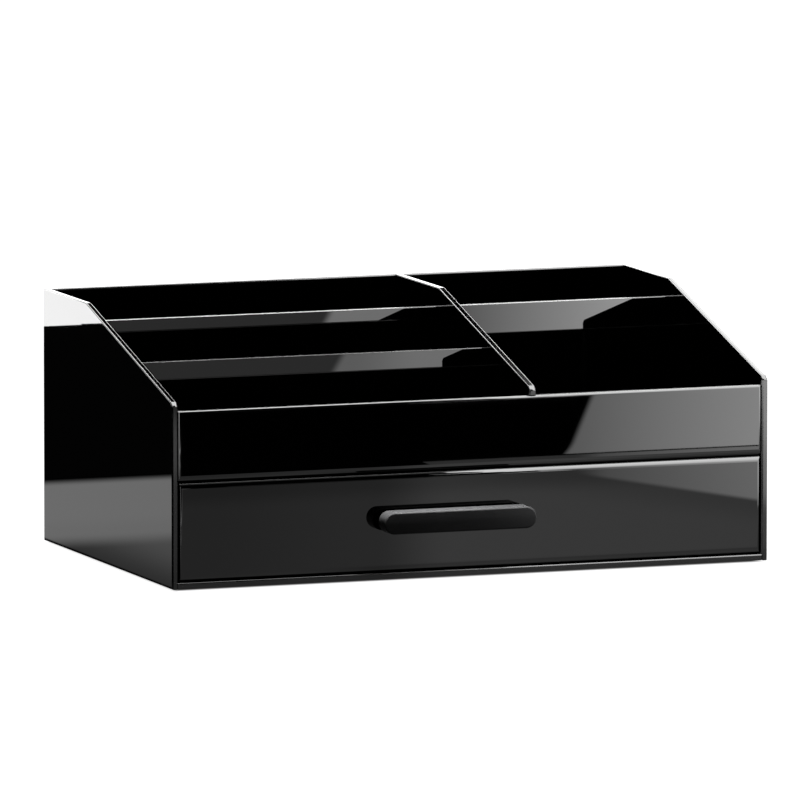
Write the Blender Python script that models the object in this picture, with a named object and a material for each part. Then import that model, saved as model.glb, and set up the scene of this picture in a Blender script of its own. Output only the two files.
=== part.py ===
"""Bathroom organizer: five open compartments over one full-width drawer with a pill-shaped handle.

Metres, +Z up, front towards -Y. The origin is on the floor under the middle of the
whole object, handle included.
"""
import math

import bmesh
import bpy
from mathutils import Vector

# Driving sizes of the case
CASE_WIDTH = 0.320
CASE_DEPTH = 0.199
CASE_HEIGHT = 0.130
SIDE_THICKNESS = 0.0030
BACK_THICKNESS = 0.0030
FASCIA_THICKNESS = 0.0030
DECK_THICKNESS = 0.0030
BASE_THICKNESS = 0.0034
DIVIDER_THICKNESS = 0.0035
PARTITION_THICKNESS = 0.0030

# Profile of the side panels and the divider, heights above the underside of the base
FLAT_TOP_DEPTH = 0.067
NOSE_HEIGHT = 0.0941
CREST_RADIUS = 0.0020
NOSE_RADIUS = 0.0030

# Upper front panel and the places of the inner walls
FASCIA_BOTTOM = 0.0543
FASCIA_DROP = 0.0041
DIVIDER_FROM_LEFT = 0.1910
FRONT_PARTITION_SETBACK = 0.0638
REAR_PARTITION_SETBACK = 0.1278
FRONT_PARTITION_TOP = 0.1070
REAR_PARTITION_TOP = 0.1210

# Clearances and edge rounding
BOND_GAP = 0.0003
SHEET_EDGE_RADIUS = 0.0008
FRONT_EDGE_RADIUS = 0.0024
PARTITION_EDGE_RADIUS = 0.0010
REAR_EDGE_EASE = 0.0003
CUT_OVERRUN = 0.0010
COORDINATE_TOLERANCE = 0.000003

# Drawer
DRAWER_SIDE_GAP = 0.0010
DRAWER_TOP_GAP = 0.0007
DRAWER_BOTTOM_GAP = 0.0012
DRAWER_FRONT_THICKNESS = 0.0030
DRAWER_WALL = 0.0025
DRAWER_FLOOR_THICKNESS = 0.0025
DRAWER_BOX_HEIGHT = 0.0430
DRAWER_BOX_SIDE_GAP = 0.0015
DRAWER_REAR_GAP = 0.0060
DRAWER_RUNNING_GAP = 0.0003

# Handle, held by two screws from inside the drawer
HANDLE_LENGTH = 0.0816
HANDLE_HEIGHT = 0.0112
HANDLE_THICKNESS = 0.0101
HANDLE_STANDOFF = 0.0040
HANDLE_CENTRE_FROM_LEFT = 0.1490
HANDLE_CENTRE_HEIGHT = 0.0300
HANDLE_EDGE_RADIUS = 0.0009
POST_SPACING = 0.0560
POST_RADIUS = 0.0035
SCREW_SHANK_RADIUS = 0.0017
SCREW_HOLE_RADIUS = 0.0020
SCREW_HEAD_RADIUS = 0.0037
SCREW_HEAD_HEIGHT = 0.0022
SCREW_DEPTH_IN_BAR = 0.0060

# Anti-slip pads
PAD_RADIUS = 0.0060
PAD_THICKNESS = 0.0006
PAD_INSET = 0.0160

# Smoothness, in facets
CORNER_STEPS = 5
EDGE_SEGMENTS = 2
FRONT_EDGE_SEGMENTS = 4
BAR_END_STEPS = 14
ROUND_STEPS = 24

# Faces that the pieces line up with
HANDLE_REACH = HANDLE_STANDOFF + HANDLE_THICKNESS
LEFT_X = -CASE_WIDTH / 2
RIGHT_X = CASE_WIDTH / 2
INNER_LEFT_X = LEFT_X + SIDE_THICKNESS
INNER_RIGHT_X = RIGHT_X - SIDE_THICKNESS
FRONT_Y = (HANDLE_REACH - CASE_DEPTH) / 2
BACK_Y = FRONT_Y + CASE_DEPTH
FASCIA_BACK_Y = FRONT_Y + FASCIA_THICKNESS
BACK_INNER_Y = BACK_Y - BACK_THICKNESS
CASE_BOTTOM_Z = PAD_THICKNESS + BOND_GAP
CASE_TOP_Z = CASE_BOTTOM_Z + CASE_HEIGHT
BASE_TOP_Z = CASE_BOTTOM_Z + BASE_THICKNESS
DECK_BOTTOM_Z = CASE_BOTTOM_Z + FASCIA_BOTTOM
FASCIA_TOP_Z = CASE_BOTTOM_Z + NOSE_HEIGHT - FASCIA_DROP
DECK_TOP_Z = DECK_BOTTOM_Z + DECK_THICKNESS
DIVIDER_LEFT_X = LEFT_X + DIVIDER_FROM_LEFT
DIVIDER_RIGHT_X = DIVIDER_LEFT_X + DIVIDER_THICKNESS
DRAWER_FRONT_BACK_Y = FRONT_Y + DRAWER_FRONT_THICKNESS
DRAWER_BOX_FRONT_Y = DRAWER_FRONT_BACK_Y + BOND_GAP
DRAWER_BOX_BACK_Y = BACK_INNER_Y - DRAWER_REAR_GAP
DRAWER_BOX_BOTTOM_Z = BASE_TOP_Z + DRAWER_RUNNING_GAP
DRAWER_BOX_TOP_Z = DRAWER_BOX_BOTTOM_Z + DRAWER_BOX_HEIGHT
DRAWER_BOX_LEFT_X = INNER_LEFT_X + DRAWER_BOX_SIDE_GAP
DRAWER_BOX_RIGHT_X = INNER_RIGHT_X - DRAWER_BOX_SIDE_GAP
HANDLE_X = LEFT_X + HANDLE_CENTRE_FROM_LEFT
HANDLE_Z = CASE_BOTTOM_Z + HANDLE_CENTRE_HEIGHT
BAR_BACK_Y = FRONT_Y - HANDLE_STANDOFF
BAR_FRONT_Y = FRONT_Y - HANDLE_REACH


def clear_scene():
    """Takes every object out of the open scene."""
    for old in list(bpy.data.objects):
        bpy.data.objects.remove(old, do_unlink=True)


def finish_material(name, color, roughness, metallic):
    """A plain finish: colour, roughness and metallic value."""
    material = bpy.data.materials.new(name)
    material.use_nodes = True
    shader = material.node_tree.nodes["Principled BSDF"]
    shader.inputs["Base Color"].default_value = (*color, 1.0)
    shader.inputs["Roughness"].default_value = roughness
    shader.inputs["Metallic"].default_value = metallic
    material.diffuse_color = (*color, 1.0)
    return material


def add_object(name, bm, material, smooth=False):
    """Turns a bmesh into a named object in the scene and frees the bmesh."""
    bmesh.ops.recalc_face_normals(bm, faces=bm.faces[:])
    mesh = bpy.data.meshes.new(name)
    bm.to_mesh(mesh)
    bm.free()
    mesh.materials.append(material)
    if smooth:
        mesh.shade_smooth()
        mesh.set_sharp_from_angle(angle=math.radians(35))
    piece = bpy.data.objects.new(name, mesh)
    bpy.context.scene.collection.objects.link(piece)
    return piece


def box(low, high):
    """A bmesh box between two corners."""
    low, high = Vector(low), Vector(high)
    bm = bmesh.new()
    bmesh.ops.create_cube(bm, size=1.0)
    for vert in bm.verts:
        for axis in range(3):
            vert.co[axis] = high[axis] if vert.co[axis] > 0 else low[axis]
    return bm


def edges_on(bm, *planes):
    """Edges whose two ends lie on every given plane, each plane an axis number and a value."""
    def on_all(vert):
        return all(abs(vert.co[axis] - value) < COORDINATE_TOLERANCE for axis, value in planes)

    return [edge for edge in bm.edges if all(on_all(vert) for vert in edge.verts)]


def round_edges(bm, edges, radius, segments):
    """Rounds the edges to a radius."""
    bmesh.ops.bevel(bm, geom=edges, offset=radius, offset_type="OFFSET", segments=segments,
                    profile=0.5, affect="EDGES", clamp_overlap=False)


def corner_arc(before, corner, after, radius, steps):
    """Points of the arc that rounds one corner of an outline."""
    corner = Vector(corner)
    towards_before = (Vector(before) - corner).normalized()
    towards_after = (Vector(after) - corner).normalized()
    half_angle = towards_before.angle(towards_after) / 2
    centre = corner + (towards_before + towards_after).normalized() * (radius / math.sin(half_angle))
    start = corner + towards_before * (radius / math.tan(half_angle)) - centre
    end = corner + towards_after * (radius / math.tan(half_angle)) - centre
    sweep = start.angle(end)
    points = []
    for step in range(steps + 1):
        share = step / steps
        blend = start * math.sin((1 - share) * sweep) + end * math.sin(share * sweep)
        points.append(centre + blend / math.sin(sweep))
    return points


def sloped_outline(back_y, bottom_z, feet):
    """Outline in depth and height: back edge, flat top, slope, rounded nose, then the feet."""
    crest = (BACK_Y - FLAT_TOP_DEPTH, CASE_TOP_Z)
    nose = (FRONT_Y, CASE_BOTTOM_Z + NOSE_HEIGHT)
    back_top = (back_y, CASE_TOP_Z)
    outline = [Vector((back_y, bottom_z)), Vector(back_top)]
    outline += corner_arc(back_top, crest, nose, CREST_RADIUS, CORNER_STEPS)
    outline += corner_arc(crest, nose, feet[0], NOSE_RADIUS, CORNER_STEPS)
    outline += [Vector(foot) for foot in feet]
    return outline


def sloped_sheet(name, left_x, right_x, outline, material):
    """A vertical sheet with a sloped outline, its whole rim lightly rounded."""
    bm = bmesh.new()
    near = [bm.verts.new((left_x, y, z)) for y, z in outline]
    far = [bm.verts.new((right_x, y, z)) for y, z in outline]
    bm.faces.new(near)
    bm.faces.new(list(reversed(far)))
    for index in range(len(outline)):
        following = (index + 1) % len(outline)
        bm.faces.new((near[index], far[index], far[following], near[following]))
    bmesh.ops.recalc_face_normals(bm, faces=bm.faces[:])
    rim = edges_on(bm, (0, left_x)) + edges_on(bm, (0, right_x))
    round_edges(bm, rim, SHEET_EDGE_RADIUS, EDGE_SEGMENTS)
    return add_object(name, bm, material)


def flat_sheet(name, low, high, material):
    """A sheet with every edge lightly rounded."""
    bm = box(low, high)
    round_edges(bm, bm.edges[:], SHEET_EDGE_RADIUS, EDGE_SEGMENTS)
    return add_object(name, bm, material)


def partition(name, left_x, right_x, setback, top, material):
    """A wall across a bay, from the deck up, with its top rounded front and back."""
    front_y = FRONT_Y + setback
    low = (left_x + BOND_GAP, front_y, DECK_TOP_Z + BOND_GAP)
    high = (right_x - BOND_GAP, front_y + PARTITION_THICKNESS, CASE_BOTTOM_Z + top)
    bm = box(low, high)
    crest = edges_on(bm, (2, high[2]), (1, low[1])) + edges_on(bm, (2, high[2]), (1, high[1]))
    round_edges(bm, crest, PARTITION_EDGE_RADIUS, EDGE_SEGMENTS)
    return add_object(name, bm, material)


def pillow_front(name, low, high, material):
    """A front panel whose four front edges are fully rounded and whose back rim is eased."""
    bm = box(low, high)
    round_edges(bm, edges_on(bm, (1, low[1])), FRONT_EDGE_RADIUS, FRONT_EDGE_SEGMENTS)
    round_edges(bm, edges_on(bm, (1, high[1])), REAR_EDGE_EASE, 1)
    return add_object(name, bm, material)


def turned(name, profile, centre_x, centre_z, material):
    """A body turned about an axis along Y.

    The profile is radius and y, from pole to pole, or a closed ring where no radius is zero.
    """
    bm = bmesh.new()
    rings = []
    for radius, y in profile:
        if radius == 0:
            rings.append([bm.verts.new((centre_x, y, centre_z))])
            continue
        ring = []
        for step in range(ROUND_STEPS):
            angle = 2 * math.pi * step / ROUND_STEPS
            ring.append(bm.verts.new((centre_x + radius * math.cos(angle), y,
                                      centre_z + radius * math.sin(angle))))
        rings.append(ring)
    pairs = list(zip(rings, rings[1:]))
    if len(rings[0]) > 1:
        pairs.append((rings[-1], rings[0]))
    for one, other in pairs:
        for step in range(ROUND_STEPS):
            following = (step + 1) % ROUND_STEPS
            if len(one) == 1:
                bm.faces.new((one[0], other[step], other[following]))
            elif len(other) == 1:
                bm.faces.new((one[step], one[following], other[0]))
            else:
                bm.faces.new((one[step], one[following], other[following], other[step]))
    return add_object(name, bm, material, smooth=True)


def hole_cutter(name, centre_x, start_y, end_y):
    """A guide body that cuts one screw hole along Y."""
    material = bpy.data.materials.get("cutter") or bpy.data.materials.new("cutter")
    profile = [(0, start_y), (SCREW_HOLE_RADIUS, start_y), (SCREW_HOLE_RADIUS, end_y), (0, end_y)]
    cutter = turned(name, profile, centre_x, HANDLE_Z, material)
    cutter.hide_render = True
    cutter.display_type = "WIRE"
    return cutter


def cut(piece, cutter):
    """Subtracts a cutter from a piece."""
    modifier = piece.modifiers.new(cutter.name, "BOOLEAN")
    modifier.operation = "DIFFERENCE"
    modifier.solver = "EXACT"
    modifier.object = cutter


def post_places():
    """Names and X of the two handle posts."""
    return (("left", HANDLE_X - POST_SPACING / 2), ("right", HANDLE_X + POST_SPACING / 2))


def build_case(gloss):
    """The bonded sheets: sides, divider, back, fascia, base, deck and partitions."""
    side = sloped_outline(BACK_Y, CASE_BOTTOM_Z, [(FRONT_Y, CASE_BOTTOM_Z)])
    sloped_sheet("left_side_panel", LEFT_X, INNER_LEFT_X, side, gloss)
    sloped_sheet("right_side_panel", INNER_RIGHT_X, RIGHT_X, side, gloss)
    divider_foot_z = DECK_TOP_Z + BOND_GAP
    notch_y = FASCIA_BACK_Y + BOND_GAP
    notch_z = FASCIA_TOP_Z + BOND_GAP
    divider = sloped_outline(BACK_INNER_Y - BOND_GAP, divider_foot_z,
                             [(FRONT_Y, notch_z), (notch_y, notch_z), (notch_y, divider_foot_z)])
    sloped_sheet("centre_divider", DIVIDER_LEFT_X, DIVIDER_RIGHT_X, divider, gloss)
    left = INNER_LEFT_X + BOND_GAP
    right = INNER_RIGHT_X - BOND_GAP
    flat_sheet("back_panel", (left, BACK_INNER_Y, CASE_BOTTOM_Z), (right, BACK_Y, CASE_TOP_Z), gloss)
    flat_sheet("base_panel", (left, FRONT_Y, CASE_BOTTOM_Z),
               (right, BACK_INNER_Y - BOND_GAP, BASE_TOP_Z), gloss)
    flat_sheet("deck_panel", (left, FASCIA_BACK_Y + BOND_GAP, DECK_BOTTOM_Z),
               (right, BACK_INNER_Y - BOND_GAP, DECK_TOP_Z), gloss)
    pillow_front("fascia", (left, FRONT_Y, DECK_BOTTOM_Z),
                 (right, FASCIA_BACK_Y, FASCIA_TOP_Z), gloss)
    partition("left_front_partition", INNER_LEFT_X, DIVIDER_LEFT_X,
              FRONT_PARTITION_SETBACK, FRONT_PARTITION_TOP, gloss)
    partition("left_rear_partition", INNER_LEFT_X, DIVIDER_LEFT_X,
              REAR_PARTITION_SETBACK, REAR_PARTITION_TOP, gloss)
    partition("right_partition", DIVIDER_RIGHT_X, INNER_RIGHT_X,
              REAR_PARTITION_SETBACK, REAR_PARTITION_TOP, gloss)


def build_drawer(gloss):
    """The sliding box and its front, bored for the two handle screws."""
    front_low = (INNER_LEFT_X + DRAWER_SIDE_GAP, FRONT_Y, BASE_TOP_Z + DRAWER_BOTTOM_GAP)
    front_high = (INNER_RIGHT_X - DRAWER_SIDE_GAP, DRAWER_FRONT_BACK_Y, DECK_BOTTOM_Z - DRAWER_TOP_GAP)
    front = pillow_front("drawer_front", front_low, front_high, gloss)
    for side, x in post_places():
        cutter = hole_cutter("front_hole_" + side, x, FRONT_Y - CUT_OVERRUN,
                             DRAWER_FRONT_BACK_Y + CUT_OVERRUN)
        cut(front, cutter)
    inner_left = DRAWER_BOX_LEFT_X + DRAWER_WALL
    inner_right = DRAWER_BOX_RIGHT_X - DRAWER_WALL
    flat_sheet("drawer_left_side", (DRAWER_BOX_LEFT_X, DRAWER_BOX_FRONT_Y, DRAWER_BOX_BOTTOM_Z),
               (inner_left, DRAWER_BOX_BACK_Y, DRAWER_BOX_TOP_Z), gloss)
    flat_sheet("drawer_right_side", (inner_right, DRAWER_BOX_FRONT_Y, DRAWER_BOX_BOTTOM_Z),
               (DRAWER_BOX_RIGHT_X, DRAWER_BOX_BACK_Y, DRAWER_BOX_TOP_Z), gloss)
    floor_top = DRAWER_BOX_BOTTOM_Z + DRAWER_FLOOR_THICKNESS
    flat_sheet("drawer_floor", (inner_left + BOND_GAP, DRAWER_BOX_FRONT_Y, DRAWER_BOX_BOTTOM_Z),
               (inner_right - BOND_GAP, DRAWER_BOX_BACK_Y, floor_top), gloss)
    flat_sheet("drawer_back",
               (inner_left + BOND_GAP, DRAWER_BOX_BACK_Y - DRAWER_WALL, floor_top + BOND_GAP),
               (inner_right - BOND_GAP, DRAWER_BOX_BACK_Y, DRAWER_BOX_TOP_Z), gloss)


def build_handle(satin, steel):
    """The pill bar, its two posts and the screws that come from inside the drawer."""
    half_height = HANDLE_HEIGHT / 2
    reach = HANDLE_LENGTH / 2 - half_height
    outline = []
    for end_x, first_angle in ((HANDLE_X + reach, -math.pi / 2), (HANDLE_X - reach, math.pi / 2)):
        for step in range(BAR_END_STEPS + 1):
            angle = first_angle + math.pi * step / BAR_END_STEPS
            outline.append((end_x + half_height * math.cos(angle), HANDLE_Z + half_height * math.sin(angle)))
    bm = bmesh.new()
    near = [bm.verts.new((x, BAR_FRONT_Y, z)) for x, z in outline]
    far = [bm.verts.new((x, BAR_BACK_Y, z)) for x, z in outline]
    bm.faces.new(near)
    bm.faces.new(list(reversed(far)))
    for index in range(len(outline)):
        following = (index + 1) % len(outline)
        bm.faces.new((near[index], far[index], far[following], near[following]))
    bmesh.ops.recalc_face_normals(bm, faces=bm.faces[:])
    rim = edges_on(bm, (1, BAR_FRONT_Y)) + edges_on(bm, (1, BAR_BACK_Y))
    round_edges(bm, rim, HANDLE_EDGE_RADIUS, EDGE_SEGMENTS)
    bar = add_object("handle_bar", bm, satin, smooth=True)
    hole_end = BAR_BACK_Y - SCREW_DEPTH_IN_BAR
    for side, x in post_places():
        cutter = hole_cutter("bar_hole_" + side, x, hole_end, BAR_BACK_Y + CUT_OVERRUN)
        cut(bar, cutter)
        post_profile = [(SCREW_HOLE_RADIUS, BAR_BACK_Y + BOND_GAP), (POST_RADIUS, BAR_BACK_Y + BOND_GAP),
                        (POST_RADIUS, FRONT_Y - BOND_GAP), (SCREW_HOLE_RADIUS, FRONT_Y - BOND_GAP)]
        turned("handle_post_" + side, post_profile, x, HANDLE_Z, satin)
        seat_y = DRAWER_FRONT_BACK_Y + BOND_GAP
        crown_y = seat_y + SCREW_HEAD_HEIGHT
        screw_profile = [(0, hole_end + BOND_GAP), (SCREW_SHANK_RADIUS, hole_end + BOND_GAP),
                         (SCREW_SHANK_RADIUS, seat_y), (SCREW_HEAD_RADIUS, seat_y),
                         (SCREW_HEAD_RADIUS, (seat_y + crown_y) / 2),
                         ((SCREW_SHANK_RADIUS + SCREW_HEAD_RADIUS) / 2, crown_y), (0, crown_y)]
        turned("handle_screw_" + side, screw_profile, x, HANDLE_Z, steel)


def build_pads(rubber):
    """Four thin round pads under the base panel."""
    reach_x = CASE_WIDTH / 2 - PAD_INSET
    middle_y = (FRONT_Y + BACK_Y) / 2
    reach_y = CASE_DEPTH / 2 - PAD_INSET
    for depth_name, depth_sign in (("front", -1), ("rear", 1)):
        for side_name, side_sign in (("left", -1), ("right", 1)):
            bm = bmesh.new()
            bmesh.ops.create_cone(bm, cap_ends=True, segments=ROUND_STEPS, radius1=PAD_RADIUS,
                                  radius2=PAD_RADIUS, depth=PAD_THICKNESS)
            pad = add_object("pad_%s_%s" % (depth_name, side_name), bm, rubber, smooth=True)
            pad.location = (side_sign * reach_x, middle_y + depth_sign * reach_y, PAD_THICKNESS / 2)


def main():
    clear_scene()
    gloss = finish_material("gloss_black_acrylic", (0.006, 0.006, 0.007), 0.04, 0.0)
    satin = finish_material("satin_black", (0.012, 0.012, 0.013), 0.34, 0.0)
    steel = finish_material("screw_steel", (0.55, 0.55, 0.57), 0.3, 1.0)
    rubber = finish_material("pad_rubber", (0.03, 0.03, 0.03), 0.8, 0.0)
    build_case(gloss)
    build_drawer(gloss)
    build_handle(satin, steel)
    build_pads(rubber)


main()
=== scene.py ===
"""Dresses a gloss black bathroom organizer: bonded sheets, a sliding drawer and its pill-shaped handle."""

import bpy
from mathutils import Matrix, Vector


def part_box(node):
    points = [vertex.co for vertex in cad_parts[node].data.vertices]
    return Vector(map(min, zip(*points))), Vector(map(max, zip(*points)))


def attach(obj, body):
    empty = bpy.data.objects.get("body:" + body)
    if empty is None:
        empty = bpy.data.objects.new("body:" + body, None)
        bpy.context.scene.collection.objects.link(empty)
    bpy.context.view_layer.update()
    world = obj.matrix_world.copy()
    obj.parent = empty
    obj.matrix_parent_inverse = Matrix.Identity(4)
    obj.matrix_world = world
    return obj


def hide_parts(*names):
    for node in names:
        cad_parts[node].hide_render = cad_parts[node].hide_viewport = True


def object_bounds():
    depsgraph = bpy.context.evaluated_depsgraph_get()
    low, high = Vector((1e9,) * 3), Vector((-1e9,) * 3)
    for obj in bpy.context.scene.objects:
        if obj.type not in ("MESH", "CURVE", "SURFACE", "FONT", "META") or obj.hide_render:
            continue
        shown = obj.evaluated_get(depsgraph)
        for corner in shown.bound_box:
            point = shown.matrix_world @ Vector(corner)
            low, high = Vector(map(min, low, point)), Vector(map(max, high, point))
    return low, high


bl_info = {
    "name": "Bathroom organizer",
    "version": (1, 0, 0),
    "blender": (4, 5, 0),
    "location": "View3D > Sidebar > Organizer",
    "description": "Makes a bathroom organizer's sheets, drawer, handle and pads, and the studio round it",
    "category": "Object",
}

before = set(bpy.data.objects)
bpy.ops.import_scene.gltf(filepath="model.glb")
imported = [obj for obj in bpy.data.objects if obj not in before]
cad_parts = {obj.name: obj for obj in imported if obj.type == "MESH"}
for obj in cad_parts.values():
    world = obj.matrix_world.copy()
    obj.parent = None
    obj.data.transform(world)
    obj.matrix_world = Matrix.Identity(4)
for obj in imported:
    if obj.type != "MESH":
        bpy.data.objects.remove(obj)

import math

import bmesh
import bpy
from bpy.props import FloatProperty, FloatVectorProperty, IntProperty, PointerProperty
from mathutils import Vector

CAD_BOX = [list(corner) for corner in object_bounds()]
CASE_LEFT, CASE_RIGHT = CAD_BOX[0][0], CAD_BOX[1][0]
CASE, DRAWER = "case", "drawer"
X, Y, Z = 0, 1, 2
WHITE = (1, 1, 1, 1)


# Node graphs

class Field:
    """A node socket that takes part in sums, products and comparisons, each of which adds its Math node."""

    def __init__(self, graph, socket):
        self.graph, self.socket = graph, socket

    def math(self, operation, *others):
        return self.graph.math(operation, self, *others)

    def __add__(self, other):
        return self.math("ADD", other)

    __radd__ = __add__

    def __sub__(self, other):
        return self.math("SUBTRACT", other)

    def __rsub__(self, other):
        return self.graph.math("SUBTRACT", other, self)

    def __mul__(self, other):
        return self.math("MULTIPLY", other)

    __rmul__ = __mul__

    def __truediv__(self, other):
        return self.math("DIVIDE", other)

    def __gt__(self, other):
        return self.math("GREATER_THAN", other)

    def __lt__(self, other):
        return self.math("LESS_THAN", other)

    def __mod__(self, other):
        return self.math("MODULO", other)


class Graph:
    """Adds nodes to one shader or geometry tree."""

    def __init__(self, tree):
        self.tree = tree

    def node(self, kind, sockets=None, settings=None):
        """A node of a type, with its settings made first and then its sockets' values or links."""
        made = self.tree.nodes.new(kind)
        for name, value in (settings or {}).items():
            setattr(made, name, value)
        for name, value in (sockets or {}).items():
            if isinstance(value, Field):
                self.tree.links.new(value.socket, made.inputs[name])
            else:
                made.inputs[name].default_value = value
        return made

    def field(self, kind, sockets=None, settings=None, output=0):
        """One output of a new node."""
        return Field(self, self.node(kind, sockets, settings).outputs[output])

    def math(self, operation, *values):
        return self.field("ShaderNodeMath", dict(enumerate(values)), {"operation": operation})

    def smooth(self, value, low, high):
        """0 below low, 1 above high and smooth between them."""
        return self.field("ShaderNodeMapRange", {"Value": value, "From Min": low, "From Max": high},
                          {"interpolation_type": "SMOOTHSTEP"})

    def clamp(self, value):
        """A number kept between 0 and 1."""
        return self.math("MINIMUM", self.math("MAXIMUM", value, 0), 1)

    def mix(self, factor, one, other):
        """A number that goes from one to the other as the factor goes from 0 to 1."""
        return one + (other - one) * factor

    def blend(self, factor, one, other):
        """A colour that goes from one to the other as the factor goes from 0 to 1."""
        return self.field("ShaderNodeMix", {0: factor, 6: (*one, 1), 7: (*other, 1)},
                          {"data_type": "RGBA"}, output=2)

    def place(self):
        """Object coordinates."""
        return self.field("ShaderNodeTexCoord", output="Object")

    def axes(self, point):
        """The three numbers of a vector."""
        return [Field(self, output) for output in self.node("ShaderNodeSeparateXYZ", {0: point}).outputs]

    def moved(self, point, x, y, z=0):
        """A vector with three numbers added to its own."""
        step = self.field("ShaderNodeCombineXYZ", {"X": x, "Y": y, "Z": z})
        return self.field("ShaderNodeVectorMath", {0: step, 1: point}, {"operation": "ADD"})

    def bump(self, height, distance, strength=1.0, under=None):
        """A normal tilted by a height pattern, on top of another bump if one is given."""
        made = self.node("ShaderNodeBump", {"Strength": strength, "Distance": distance, "Height": height})
        if under:
            self.tree.links.new(under.socket, made.inputs["Normal"])
        return Field(self, made.outputs[0])

    def end_surface(self, shader):
        """Ends a material in its output node."""
        self.node("ShaderNodeOutputMaterial", {"Surface": shader})

    def end_principled(self, sockets):
        """Ends a material in a Principled shader."""
        self.end_surface(self.field("ShaderNodeBsdfPrincipled", sockets))


# Finishes

def new_material(name):
    """An empty material and its graph."""
    material = bpy.data.materials.get(name)
    if material:
        bpy.data.materials.remove(material)
    material = bpy.data.materials.new(name)
    material.use_nodes = True
    material.node_tree.nodes.clear()
    return material, Graph(material.node_tree)


def noise(graph, point, scale, detail=2.0, roughness=0.5, stretch=None):
    """A noise pattern on a position, with its scale per metre."""
    if stretch:
        point = graph.field("ShaderNodeMapping", {"Vector": point, "Scale": stretch})
    return graph.field("ShaderNodeTexNoise", {
        "Vector": point, "Scale": scale, "Detail": detail, "Roughness": roughness})


def gloss_acrylic(name, finishes):
    """Gloss black sheet: faint waves, wiping haze and dust, and rims sawn and polished by hand."""
    material, graph = new_material(name)
    point = graph.place()
    rim = graph.field("ShaderNodeAttribute", None, {"attribute_name": "rim"}, output="Fac")
    haze = graph.smooth(noise(graph, point, 22, 3, 0.55), 0.42, 0.75)
    wiping = graph.smooth(noise(graph, point, 90, 2, 0.6, (1, 1, 0.2)), 0.5, 0.8)
    saw = noise(graph, point, 900, 2, 0.6)
    face_roughness = finishes.gloss_roughness + haze * 0.004 + wiping * 0.003
    rim_roughness = finishes.rim_roughness + saw * 0.05
    wave = noise(graph, point, 9, 1, 0.4)
    ripple = noise(graph, point, 1400, 2, 0.5)
    dust = graph.smooth(noise(graph, point, 3200, 1, 0.3), 0.79, 0.82)
    paleness = haze * 0.1 + rim * 0.3 + dust * 0.6
    graph.end_principled({
        "Base Color": graph.blend(paleness, finishes.acrylic_color, (0.004, 0.004, 0.0043)),
        "Roughness": graph.mix(rim, face_roughness, rim_roughness), "IOR": 1.49,
        "Normal": graph.bump(wave + ripple * rim * 0.004, finishes.sheet_wave)})
    return material


# Half the curvature, per metre, of the handle's slightly crowned front, upwards
CROWN_CURVE = 16.0


def satin_black(name, finishes):
    """Satin black moulding with a slight crown, a fine even grain and some polish from fingers."""
    material, graph = new_material(name)
    point = graph.place()
    grain = noise(graph, point, 2600, 3, 0.6)
    touch = graph.smooth(noise(graph, point, 60, 2, 0.5), 0.4, 0.7)
    rise = graph.axes(point)[Z] - middle("handle_bar").z
    crown = graph.bump(rise * rise * -CROWN_CURVE, 1.0)
    graph.end_principled({
        "Base Color": graph.blend(grain, finishes.satin_color, (0.006, 0.006, 0.0061)),
        "Roughness": finishes.satin_roughness + grain * 0.06 - touch * 0.04, "IOR": 1.12,
        "Normal": graph.bump(grain, 0.00004, 0.35, under=crown)})
    return material


def pad_rubber(name, finishes):
    """Matt black rubber with a pebbled skin."""
    material, graph = new_material(name)
    pebble = graph.field("ShaderNodeTexVoronoi", {"Vector": graph.place(), "Scale": 1800},
                         {"feature": "SMOOTH_F1"})
    graph.end_principled({
        "Base Color": (0.022, 0.022, 0.023, 1), "Roughness": 0.74 + pebble * 0.2,
        "Normal": graph.bump(pebble, 0.00008, 0.6)})
    return material


def screw_steel(name, finishes):
    """Bright zinc-plated steel with fine turning marks round each screw's axis."""
    material, graph = new_material(name)
    marks = noise(graph, graph.place(), 700, 2, 0.6, (1, 9, 1))
    graph.end_principled({
        "Base Color": (0.6, 0.6, 0.62, 1), "Metallic": 1.0,
        "Roughness": 0.22 + marks * 0.16, "Normal": graph.bump(marks, 0.00002, 0.3)})
    return material


FINISHES = {
    "case_acrylic": gloss_acrylic,
    "drawer_acrylic": gloss_acrylic,
    "handle_satin": satin_black,
    "pad_rubber": pad_rubber,
    "screw_steel": screw_steel,
}


def finish(slot):
    """The material of a slot, made the first time it is asked for."""
    found = bpy.data.materials.get("finish_" + slot)
    return found or FINISHES[slot]("finish_" + slot, bpy.context.scene.organizer_finishes)


# Meshes

def middle(node):
    """The middle of a CAD node's box."""
    low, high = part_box(node)
    return (low + high) / 2


def linked(name, data):
    """A new object in the scene."""
    made = bpy.data.objects.new(name, data)
    bpy.context.scene.collection.objects.link(made)
    return made


def tag_rims(bm, axis):
    """Marks the faces of a sheet that turn away from its two broad ones, for the rims' own finish."""
    layer = bm.faces.layers.float.new("rim")
    bm.normal_update()
    level = math.cos(math.radians(10))
    for face in bm.faces:
        face[layer] = 1.0 if axis is not None and abs(face.normal[axis]) < level else 0.0


def add_piece(name, mesh, body, nodes, slot):
    """Puts a finished mesh in the scene on its body, in the place of its CAD nodes."""
    mesh.name = name
    mesh.materials.clear()
    mesh.materials.append(finish(slot))
    piece = linked(name, mesh)
    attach(piece, body)
    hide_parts(*nodes)


def evaluated_mesh(made):
    """The plain mesh that an object's modifiers give. The object goes."""
    bpy.context.view_layer.update()
    graph = bpy.context.evaluated_depsgraph_get()
    mesh = bpy.data.meshes.new_from_object(made.evaluated_get(graph), preserve_all_data_layers=True,
                                           depsgraph=graph)
    old = made.data
    bpy.data.objects.remove(made)
    bpy.data.meshes.remove(old)
    return mesh


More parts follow.
